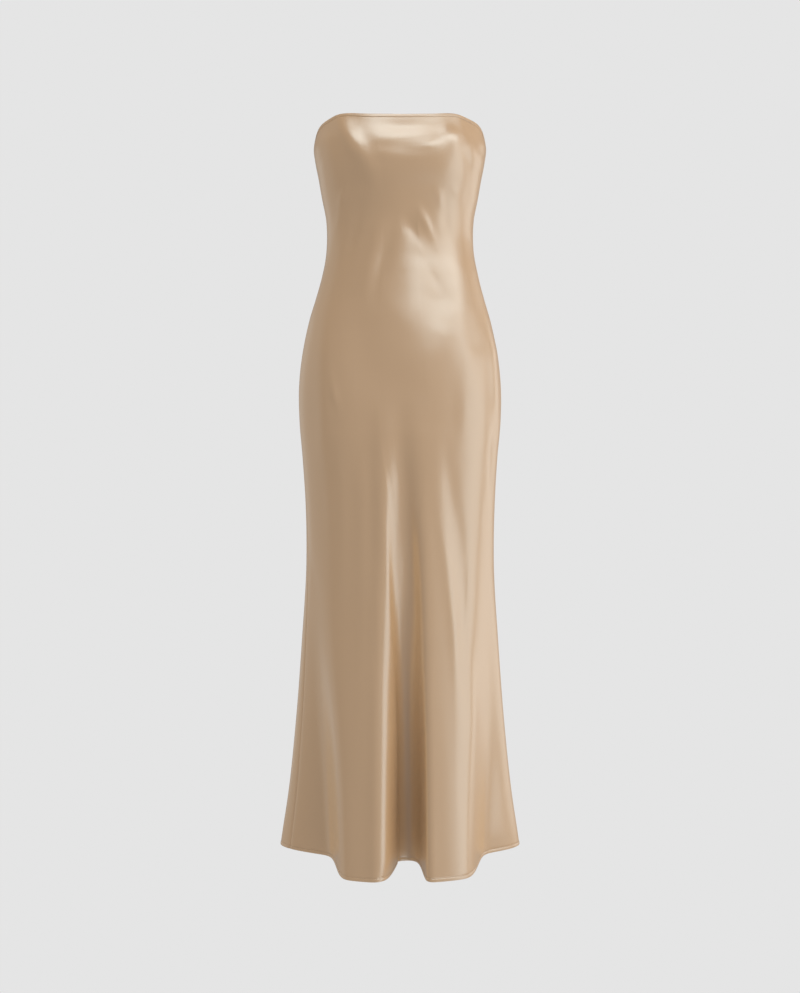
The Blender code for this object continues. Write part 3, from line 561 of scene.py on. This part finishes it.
def cloth_grid(angles_at, fineness, folds):
    """Fine grid of a panel's outer face in metres, with its folds, drawn in along its seams."""
    first_row = TOP_EDGE[0].height - (BINDING_WALL + SEAM_GAP) / MM
    above_hem = np.array(HEM_ROWS)
    hem_rows = HEM_HEIGHT + above_hem
    ends = (first_row, BODICE_END, hem_rows[0] + HEM_ROWS[0] / 2)
    spread = np.interp(np.linspace(0.0, 1.0, ROW_COUNT), (0.0, BODICE_SHARE, 1.0), ends)
    rows = []
    for level in np.concatenate([spread, hem_rows]):
        angles = fine_angles(angles_at, level, fineness)
        rows.append(surface(angles, row_height(angles, level)))
    grid = np.array(rows)
    across = arc_lengths(grid, 1)
    from_edge = np.minimum(across, across[:, -1:] - across)
    drawn_in = SEAM_DIP * np.exp(-(from_edge / SEAM_SOFTNESS) ** 2)
    held = 1.0 - np.exp(-(from_edge / SEAM_HOLD) ** 2)
    height = softened(fold_height(folds, grid[..., 0], grid[..., 2])) * held - drawn_in
    stitched = STITCH_DIP * np.exp(-((above_hem - HEM_STITCH_HEIGHT) / STITCH_SOFTNESS) ** 2)
    turned = HEM_SWELL * smoothstep((HEM_STITCH_HEIGHT - above_hem) / HEM_SWELL_BLEND)
    height[-len(HEM_ROWS):] += (turned - stitched)[:, None]
    return moved(grid * MM, height[..., None] * MM)


def turned_up(grid):
    """The grid carried round its hem edge and up inside, as the turning of the hem."""
    last = grid[-1]
    down = unit(grid[-1] - grid[-2])
    outward = unit(np.cross(down, np.gradient(last, axis=0)))
    rows = []
    for turn in np.linspace(0, math.pi, HEM_FOLD_ROWS)[1:]:
        roll = down * HEM_FOLD_RADIUS * math.sin(turn) - outward * HEM_FOLD_RADIUS * (1 - math.cos(turn))
        rows.append(last + roll)
    inside = rows[-1]
    for rise in np.linspace(0, HEM_TURNING, HEM_TURNING_ROWS)[1:]:
        rows.append(inside - down * rise)
    return np.concatenate([grid, rows])


def add_piece(name, points, faces, materials):
    """Smooth-shaded object from points in metres."""
    mesh = bpy.data.meshes.new(name)
    mesh.from_pydata(points, [], faces)
    mesh.shade_smooth()
    for material in materials:
        mesh.materials.append(material)
    piece = bpy.data.objects.new(name, mesh)
    bpy.context.scene.collection.objects.link(piece)
    return piece


def add_sheet(name, grid, thickness, materials, direction=-1):
    """Object from a grid of points in metres, with its length and width as UV, thickened inwards or outwards."""
    rows, columns, _ = grid.shape
    corner = (np.arange(rows - 1)[:, None] * columns + np.arange(columns - 1)).ravel()
    faces = np.stack([corner, corner + columns, corner + columns + 1, corner + 1], axis=1)
    piece = add_piece(name, grid.reshape(-1, 3).tolist(), faces.tolist(), materials)
    uv = np.stack([arc_lengths(grid, 1), -arc_lengths(grid, 0)], axis=-1).reshape(-1, 2)
    loops = np.zeros(len(piece.data.loops), int)
    piece.data.loops.foreach_get("vertex_index", loops)
    piece.data.uv_layers.new(name="Cloth").data.foreach_set("uv", uv[loops].ravel())
    shell = piece.modifiers.new("Thickness", "SOLIDIFY")
    shell.thickness = thickness
    shell.offset = direction
    shell.material_offset = len(materials) - 1
    return piece


# ----------------------------------------------------------------------
# Binding, stitching and zip
# ----------------------------------------------------------------------

BINDING_EASE = 0.05 * MM        # between the binding and the cloth it covers
BINDING_CLOTH = 0.35 * MM
BINDING_DOWN_ROW = 3            # the panels' row towards which the binding runs down
BINDING_TURN_ROWS = 7           # rows round its folded edge, with the first row of each face
STITCH_LENGTH = 2.4 * MM
STITCH_PITCH = 3.0 * MM
THREAD_RADIUS = 0.22 * MM
THREAD_SIDES = 5
# Rings of one stitch: where each is along the stitch and how much of the thread's radius it has
STITCH_RINGS = ((0.0, 0.25), (0.15, 0.85), (0.5, 1.0), (0.85, 0.85), (1.0, 0.25))
STITCH_AHEAD = 0.1 * MM         # how far ahead a stitch's direction is read
STITCH_NORMAL_ROW = -3          # a row of the panels just below the stitching, which gives its outward side
TAPE_ROWS = 75
TAPE_COLUMNS = 7
TAPE_CLOTH = 0.6 * MM
COIL_PITCH = 1.3 * MM
COIL_WIRE = 0.26 * MM           # radius of the nylon wire
COIL_OFFSET = 0.7 * MM          # from the centre line to the middle of each coil
COIL_REACH = 1.2 * MM           # half the width of a coil's wire centre line
COIL_RISE = 0.6 * MM            # and half its thickness
COIL_STEPS = 10                 # points round one turn
COIL_SIDES = 5
COIL_HEIGHTS = 60               # heights at which the back's line is read for the coils


def binding_grid(panels):
    """The strip folded over the panels' top edges: up the inside, round and down the outside."""
    covered = BINDING_HEIGHT - BINDING_WALL
    upper = []
    for panel in panels:
        down = unit(panel[BINDING_DOWN_ROW] - panel[0])
        upper.append(np.stack([panel[0], panel[0] + down * covered]))
    upper = np.concatenate(upper, axis=1)
    top = upper[0]
    outward = (moved(upper, 1.0) - upper)[0]
    down = unit(upper[1] - top)
    outer = BINDING_EASE
    inner = -(CLOTH + BINDING_EASE)
    middle = 0.5 * (outer + inner)
    reach = 0.5 * (outer - inner)
    rows = []
    for share in (1.0, 0.5, 0.0):
        rows.append(top + down * covered * share + outward * inner)
    for turn in np.linspace(math.pi, 0, BINDING_TURN_ROWS)[1:-1]:
        rows.append(top + outward * (middle + reach * math.cos(turn)) - down * reach * math.sin(turn))
    for share in (0.0, 0.25, 0.5, 0.75, 1.0):
        rows.append(top + down * covered * share + outward * outer)
    return np.array(rows)


def interpolated(place, along, points):
    """Point, or normal, at a distance along a line, from its points and their distances along it."""
    return np.array([np.interp(place, along, points[:, axis]) for axis in range(3)])


def line_lengths(points):
    """Distance along a line of its points."""
    return np.concatenate([[0.0], np.cumsum(np.linalg.norm(np.diff(points, axis=0), axis=1))])


def add_stitches(name, line, normal, material):
    """Small rounded stitches, end to end along a line of points, standing a little out of the cloth."""
    points = []
    faces = []
    along = line_lengths(line)
    count = int(along[-1] / STITCH_PITCH)
    for index in range(count):
        start = (index + 0.5) * along[-1] / count - 0.5 * STITCH_LENGTH
        base = len(points)
        for share, swell in STITCH_RINGS:
            place = start + share * STITCH_LENGTH
            centre = interpolated(place, along, line)
            out = interpolated(place, along, normal)
            side = np.cross(out, interpolated(place + STITCH_AHEAD, along, line) - centre)
            side /= max(np.linalg.norm(side), 1e-9)
            for step in range(THREAD_SIDES):
                turn = 2.0 * math.pi * step / THREAD_SIDES
                offset = out * math.cos(turn) + side * math.sin(turn)
                points.append(tuple(centre + offset * THREAD_RADIUS * swell))
        last = base + (len(STITCH_RINGS) - 1) * THREAD_SIDES
        for first in range(base, last, THREAD_SIDES):
            for step in range(THREAD_SIDES):
                a = first + step
                b = first + (step + 1) % THREAD_SIDES
                faces.append((a, b, b + THREAD_SIDES, a + THREAD_SIDES))
        faces.append(tuple(base + step for step in reversed(range(THREAD_SIDES))))
        faces.append(tuple(last + step for step in range(THREAD_SIDES)))
    return add_piece(name, points, faces, (material,))


def stitch_line(grid, rise):
    """Line of points a distance above the hem edge, and the outward normals close to it."""
    outward = moved(grid, 1.0) - grid
    line = []
    for column in range(grid.shape[1]):
        points = grid[::-1, column]
        line.append(interpolated(rise, line_lengths(points), points))
    return np.array(line), outward[STITCH_NORMAL_ROW]


def tape_grid(side):
    """Inner face of the back panel beside the zip, where the zip's tape lies."""
    sign = 1 if side == "left" else -1
    centre = sign * math.pi
    rows = []
    top = top_edge(math.pi) - (BINDING_HEIGHT + TAPE_DROP) / MM
    for z in np.linspace(top, ZIP_BOTTOM / MM, TAPE_ROWS):
        reach = 0.5 * zip_opening(z) + np.linspace(0.0, TAPE_WIDTH / MM, TAPE_COLUMNS)
        angles = np.sort(centre - sign * reach / speed(centre, z))
        rows.append(surface(angles, np.full(TAPE_COLUMNS, z)))
    return moved(np.array(rows) * MM, -(WALL + SEAM_GAP))


def add_coil(name, material):
    """The closed zip: two flattened coils of nylon wire hooked into one another down the centre back."""
    top = SLIDER_TOP - SLIDER_HEIGHT - SEAM_GAP
    bottom = ZIP_BOTTOM + STOP_HEIGHT + SEAM_GAP
    heights = np.linspace(top, bottom, COIL_HEIGHTS)
    back = surface(np.full(COIL_HEIGHTS, math.pi), heights / MM)[:, 1] * MM - INSIDE_TAPES - 0.5 * CHAIN_WALL
    length = top - bottom
    turns = int(length / COIL_PITCH)
    count = turns * COIL_STEPS
    turn = 2.0 * math.pi * np.arange(count + 1) / COIL_STEPS
    points = []
    faces = []
    for sign, start in ((1.0, 0.0), (-1.0, 0.5)):
        share = np.clip((turn / (2 * math.pi) + start) / (turns + 0.5), 0, 1)
        z = top - COIL_WIRE - (length - 2.0 * COIL_WIRE) * share
        x = sign * (COIL_OFFSET + COIL_REACH * np.cos(turn))
        y = np.interp(-z, -heights, back) + COIL_RISE * np.sin(turn)
        centre = np.stack([x, y, z], axis=1)
        along = unit(np.gradient(centre, axis=0))
        out = np.stack([np.cos(turn) * sign, np.sin(turn), np.zeros_like(turn)], axis=1)
        out = unit(out - (out * along).sum(axis=1, keepdims=True) * along)
        side = np.cross(along, out)
        base = len(points)
        for step in range(COIL_SIDES):
            angle = 2.0 * math.pi * step / COIL_SIDES
            points.extend((centre + (out * math.cos(angle) + side * math.sin(angle)) * COIL_WIRE).tolist())
        starts = [base + step * (count + 1) for step in range(COIL_SIDES)]
        for a, b in zip(starts, starts[1:] + starts[:1]):
            faces.extend((a + k, a + k + 1, b + k + 1, b + k) for k in range(count))
        faces.append(tuple(starts))
        faces.append(tuple(first + count for first in reversed(starts)))
    return add_piece(name, points, faces, (material,))


# ----------------------------------------------------------------------
# Materials
# ----------------------------------------------------------------------

SATIN_COLOUR = (0.572, 0.348, 0.178, 1.0)
WRONG_SIDE_COLOUR = (0.50, 0.35, 0.225, 1.0)
SATIN_SHINE = (0.88, 1.00, 1.00, 1.0)    # tint of its gloss
SATIN_IOR = 2.3                 # floats of silky thread reflect far more than a plain weave
SATIN_CLOUD = 0.97              # the satin's darkest patches, as a share of its colour
WEAVE_DEPTH = 0.05 * MM
THREAD_COLOUR = (0.50, 0.35, 0.22, 1.0)
COIL_COLOUR = (0.44, 0.32, 0.21, 1.0)
NYLON_CLOUD = 0.86              # the same share for thread and coil
TAPE_RIBS = {"X": 260.0, "Y": 420.0}     # scale of the ribs across and along the tape
TAPE_RIB_DEPTH = 0.15 * MM
TAPE_DARK = (0.36, 0.255, 0.165, 1.0)
TAPE_LIGHT = (0.50, 0.37, 0.25, 1.0)
BRASS_DARK = (0.52, 0.38, 0.23, 1.0)
BRASS_LIGHT = (0.68, 0.52, 0.34, 1.0)


def add_node(nodes, kind, **values):
    """Node with its inputs, named with _ for a space, or else its own settings."""
    node = nodes.new(kind)
    for name, value in values.items():
        socket = name.replace("_", " ")
        if socket in node.inputs:
            node.inputs[socket].default_value = value
        else:
            setattr(node, name, value)
    return node


def new_material(name):
    material = bpy.data.materials.new(name)
    material.use_nodes = True
    nodes = material.node_tree.nodes
    return material, nodes, material.node_tree.links, nodes["Principled BSDF"]


def colour_between(nodes, links, shader, pattern, dark, light):
    """The surface's colour wanders between two tones with a pattern."""
    tone = add_node(nodes, "ShaderNodeMix", data_type="RGBA", A=dark, B=light)
    links.new(pattern, tone.inputs["Factor"])
    links.new(tone.outputs["Result"], shader.inputs["Base Color"])


def roughness_between(nodes, links, shader, pattern, least, most):
    """The surface's roughness wanders between two values with a pattern."""
    shine = add_node(nodes, "ShaderNodeMapRange", To_Min=least, To_Max=most)
    links.new(pattern, shine.inputs["Value"])
    links.new(shine.outputs["Result"], shader.inputs["Roughness"])


def raised(nodes, links, shader, pattern, strength, depth):
    """The surface stands up where a pattern is light."""
    bump = add_node(nodes, "ShaderNodeBump", Strength=strength, Distance=depth)
    links.new(pattern, bump.inputs["Height"])
    links.new(bump.outputs["Normal"], shader.inputs["Normal"])


def darker(colour, share):
    return [share * channel for channel in colour[:3]] + [1.0]


def satin(name, colour, roughness, gloss, weave_strength):
    """Satin: a fine diagonal weave under a soft gloss, with faint clouds in its colour."""
    material, nodes, links, shader = new_material(name)
    shader.inputs["Roughness"].default_value = roughness
    shader.inputs["IOR"].default_value = SATIN_IOR
    shader.inputs["Specular IOR Level"].default_value = gloss
    shader.inputs["Specular Tint"].default_value = SATIN_SHINE
    uv = add_node(nodes, "ShaderNodeUVMap", uv_map="Cloth")
    weave = add_node(nodes, "ShaderNodeTexWave", wave_type="BANDS", bands_direction="DIAGONAL",
                     Scale=900.0, Distortion=1.5)
    cloud = add_node(nodes, "ShaderNodeTexNoise", Scale=14.0, Detail=3.0)
    for texture in (weave, cloud):
        links.new(uv.outputs["UV"], texture.inputs["Vector"])
    raised(nodes, links, shader, weave.outputs["Fac"], weave_strength, WEAVE_DEPTH)
    colour_between(nodes, links, shader, cloud.outputs["Fac"], darker(colour, SATIN_CLOUD), colour)
    return material


def woven_tape(name):
    """Matt herringbone tape of the zip, in ribs along its length."""
    material, nodes, links, shader = new_material(name)
    shader.inputs["Roughness"].default_value = 0.85
    shader.inputs["Specular IOR Level"].default_value = 0.2
    uv = add_node(nodes, "ShaderNodeUVMap", uv_map="Cloth")
    both = add_node(nodes, "ShaderNodeMath", operation="MULTIPLY")
    for index, (direction, scale) in enumerate(TAPE_RIBS.items()):
        thread = add_node(nodes, "ShaderNodeTexWave", wave_type="BANDS", bands_direction=direction, Scale=scale)
        links.new(uv.outputs["UV"], thread.inputs["Vector"])
        links.new(thread.outputs["Fac"], both.inputs[index])
    colour_between(nodes, links, shader, both.outputs["Value"], TAPE_DARK, TAPE_LIGHT)
    raised(nodes, links, shader, both.outputs["Value"], 0.5, TAPE_RIB_DEPTH)
    return material


def clouded(name, dark, light, scale, detail, roughness):
    """Material whose colour and gloss vary together in small clouds. roughness is its least and most."""
    material, nodes, links, shader = new_material(name)
    place = add_node(nodes, "ShaderNodeTexCoord")
    cloud = add_node(nodes, "ShaderNodeTexNoise", Scale=scale, Detail=detail)
    links.new(place.outputs["Object"], cloud.inputs["Vector"])
    colour_between(nodes, links, shader, cloud.outputs["Fac"], dark, light)
    roughness_between(nodes, links, shader, cloud.outputs["Fac"], *roughness)
    return material, shader


def nylon(name, colour):
    """Dyed nylon or thread: slightly shiny, with a little unevenness."""
    material, _ = clouded(name, darker(colour, NYLON_CLOUD), colour, scale=220.0, detail=2.0, roughness=(0.38, 0.52))
    return material


def brass(name):
    """Worn pale brass: brushed grain in its gloss and colour."""
    material, shader = clouded(name, BRASS_DARK, BRASS_LIGHT, scale=700.0, detail=3.0, roughness=(0.24, 0.42))
    shader.inputs["Metallic"].default_value = 1.0
    return material


# ----------------------------------------------------------------------
# The dress
# ----------------------------------------------------------------------

face = satin("satin_face", SATIN_COLOUR, roughness=0.32, gloss=0.80, weave_strength=0.10)
reverse = satin("satin_reverse", WRONG_SIDE_COLOUR, roughness=0.55, gloss=0.15, weave_strength=0.15)

grids = {
    "front_panel": cloth_grid(front_angles, FRONT_FINENESS, {**FRONT_FOLDS, **DARTS}),
    "back_panel_left": cloth_grid(lambda z: back_angles("left", z), BACK_FINENESS, BACK_FOLDS),
    "back_panel_right": cloth_grid(lambda z: back_angles("right", z), BACK_FINENESS, BACK_FOLDS),
}
for name, grid in grids.items():
    cloth = add_sheet(name + "_cloth", turned_up(grid), CLOTH, (face, reverse))
    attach(cloth, "root")
    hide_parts(name)

edges = binding_grid([grids[name] for name in ("back_panel_right", "front_panel", "back_panel_left")])
binding = add_sheet("top_binding_cloth", edges, BINDING_CLOTH, (face,), direction=1)
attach(binding, "root")
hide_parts("top_binding")

thread = nylon("sewing_thread", THREAD_COLOUR)
for name, grid in grids.items():
    row = add_stitches(name + "_hem_stitches", *stitch_line(grid, HEM_STITCH_HEIGHT * MM), thread)
    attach(row, "root")

tape_cloth = woven_tape("zip_tape_weave")
for side in ("left", "right"):
    tape = add_sheet("zip_tape_%s_cloth" % side, tape_grid(side), TAPE_CLOTH, (tape_cloth,))
    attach(tape, "root")
    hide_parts("zip_tape_" + side)

coil = add_coil("zip_coil", nylon("zip_nylon", COIL_COLOUR))
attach(coil, "root")
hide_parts("zip_chain")

metal = brass("zip_brass")
for name in ("zip_slider", "zip_pull", "zip_stop"):
    node = NODES[name]
    node.data.materials.clear()
    node.data.materials.append(metal)

# ----------------------------------------------------------------------
# Stage, lights and camera
# ----------------------------------------------------------------------

BACKDROP = (0.783, 0.783, 0.783, 1.0)    # linear colour of the plain pale surroundings
ROOM_FILL = 0.79                # strength of the room's soft light
FRONT_SHINE = 0.08              # share of it that gloss sees: the room in front is darker than its lights
BACK_GLOW = 0.18                # how much stronger the pale room is behind the dress
BACK_GLOW_FROM = -0.1           # Y of the directions in which that starts
BACK_GLOW_FULL = 0.35           # and from which it is whole
FLOOR_REACH = 6.0
FLOOR_HEIGHT = -1.46
CAMERA_PLACE = (0.0, -2.4, -0.585)
CAMERA_SENSOR = 36.0
CAMERA_LENS = 51.2
LIGHTS_FACE = Vector((0.0, 0.0, -0.5))
LIGHT_DISTANCE = 2.6

# Azimuth and elevation in degrees, width and height in metres, power in watts
Softbox = namedtuple("Softbox", "name azimuth elevation width height power")
LIGHTS = [
    Softbox("right_wall", 70, 0, 2.1, 2.0, 12.5),
    Softbox("right_rear", 122, 0, 1.7, 2.0, 8.0),
    Softbox("front_high", 40, 35, 2.4, 1.0, 15.0),
    Softbox("front_top", 0, 60, 1.2, 1.0, 8.4),
    Softbox("front_low", 40, -35, 1.8, 1.0, 4.0),
    Softbox("left_rear", -140, 0, 1.2, 2.0, 2.2),
]

scene = bpy.context.scene
scene.view_settings.view_transform = "Standard"


def light_room():
    """Soft light from all round. The camera sees the pale backdrop and gloss sees a room dark in front."""
    world = bpy.data.worlds.new("Studio")
    scene.world = world
    world.use_nodes = True
    nodes = world.node_tree.nodes
    links = world.node_tree.links
    room = nodes["Background"]
    room.inputs["Color"].default_value = (1.0, 1.0, 1.0, 1.0)
    pale = add_node(nodes, "ShaderNodeBackground", Color=BACKDROP)
    direction = add_node(nodes, "ShaderNodeTexCoord")
    split = add_node(nodes, "ShaderNodeSeparateXYZ")
    glow = add_node(nodes, "ShaderNodeMapRange", interpolation_type="SMOOTHSTEP",
                    From_Min=BACK_GLOW_FROM, From_Max=BACK_GLOW_FULL, To_Max=BACK_GLOW)
    rays = add_node(nodes, "ShaderNodeLightPath")
    fill = add_node(nodes, "ShaderNodeMapRange", To_Min=ROOM_FILL, To_Max=ROOM_FILL * FRONT_SHINE)
    both = add_node(nodes, "ShaderNodeMath", operation="ADD")
    seen = add_node(nodes, "ShaderNodeMixShader")
    links.new(direction.outputs["Generated"], split.inputs[0])
    links.new(split.outputs["Y"], glow.inputs["Value"])
    links.new(rays.outputs["Is Glossy Ray"], fill.inputs["Value"])
    links.new(fill.outputs["Result"], both.inputs[0])
    links.new(glow.outputs["Result"], both.inputs[1])
    links.new(both.outputs["Value"], room.inputs["Strength"])
    links.new(rays.outputs["Is Camera Ray"], seen.inputs["Fac"])
    links.new(room.outputs[0], seen.inputs[1])
    links.new(pale.outputs[0], seen.inputs[2])
    links.new(seen.outputs[0], nodes["World Output"].inputs["Surface"])


def add_softbox(box):
    """Softbox round the dress, its azimuth from the camera's side towards +X, facing the middle."""
    light = bpy.data.lights.new(box.name, "AREA")
    light.shape = "RECTANGLE"
    light.size = box.width
    light.size_y = box.height
    light.energy = box.power
    lamp = bpy.data.objects.new(box.name, light)
    scene.collection.objects.link(lamp)
    turn = math.radians(box.azimuth)
    rise = math.radians(box.elevation)
    away = Vector((math.sin(turn) * math.cos(rise), -math.cos(turn) * math.cos(rise), math.sin(rise)))
    lamp.location = LIGHTS_FACE + away * LIGHT_DISTANCE
    lamp.rotation_euler = (-away).to_track_quat("-Z", "Y").to_euler()
    lamp.visible_camera = False


def add_camera():
    """The photo's camera: level, in front of the dress."""
    data = bpy.data.cameras.new("Camera")
    data.sensor_width = CAMERA_SENSOR
    data.lens = CAMERA_LENS
    camera = bpy.data.objects.new("Camera", data)
    scene.collection.objects.link(camera)
    camera.location = CAMERA_PLACE
    camera.rotation_euler = (math.radians(90), 0, 0)
    scene.camera = camera


def add_floor():
    """Plain floor of the backdrop's own tone, which casts and takes no shadow."""
    material, nodes, links, shader = new_material("floor")
    nodes.remove(shader)
    glow = add_node(nodes, "ShaderNodeEmission", Color=BACKDROP)
    links.new(glow.outputs[0], nodes["Material Output"].inputs["Surface"])
    corners = [(x * FLOOR_REACH, y * FLOOR_REACH, FLOOR_HEIGHT) for x, y in ((-1, -1), (1, -1), (1, 1), (-1, 1))]
    floor = add_piece("floor", corners, [(0, 1, 2, 3)], (material,))
    floor.visible_diffuse = False
    floor.visible_glossy = False
    floor.visible_shadow = False
    return floor


light_room()
for box in LIGHTS:
    add_softbox(box)
add_camera()
floor = add_floor()
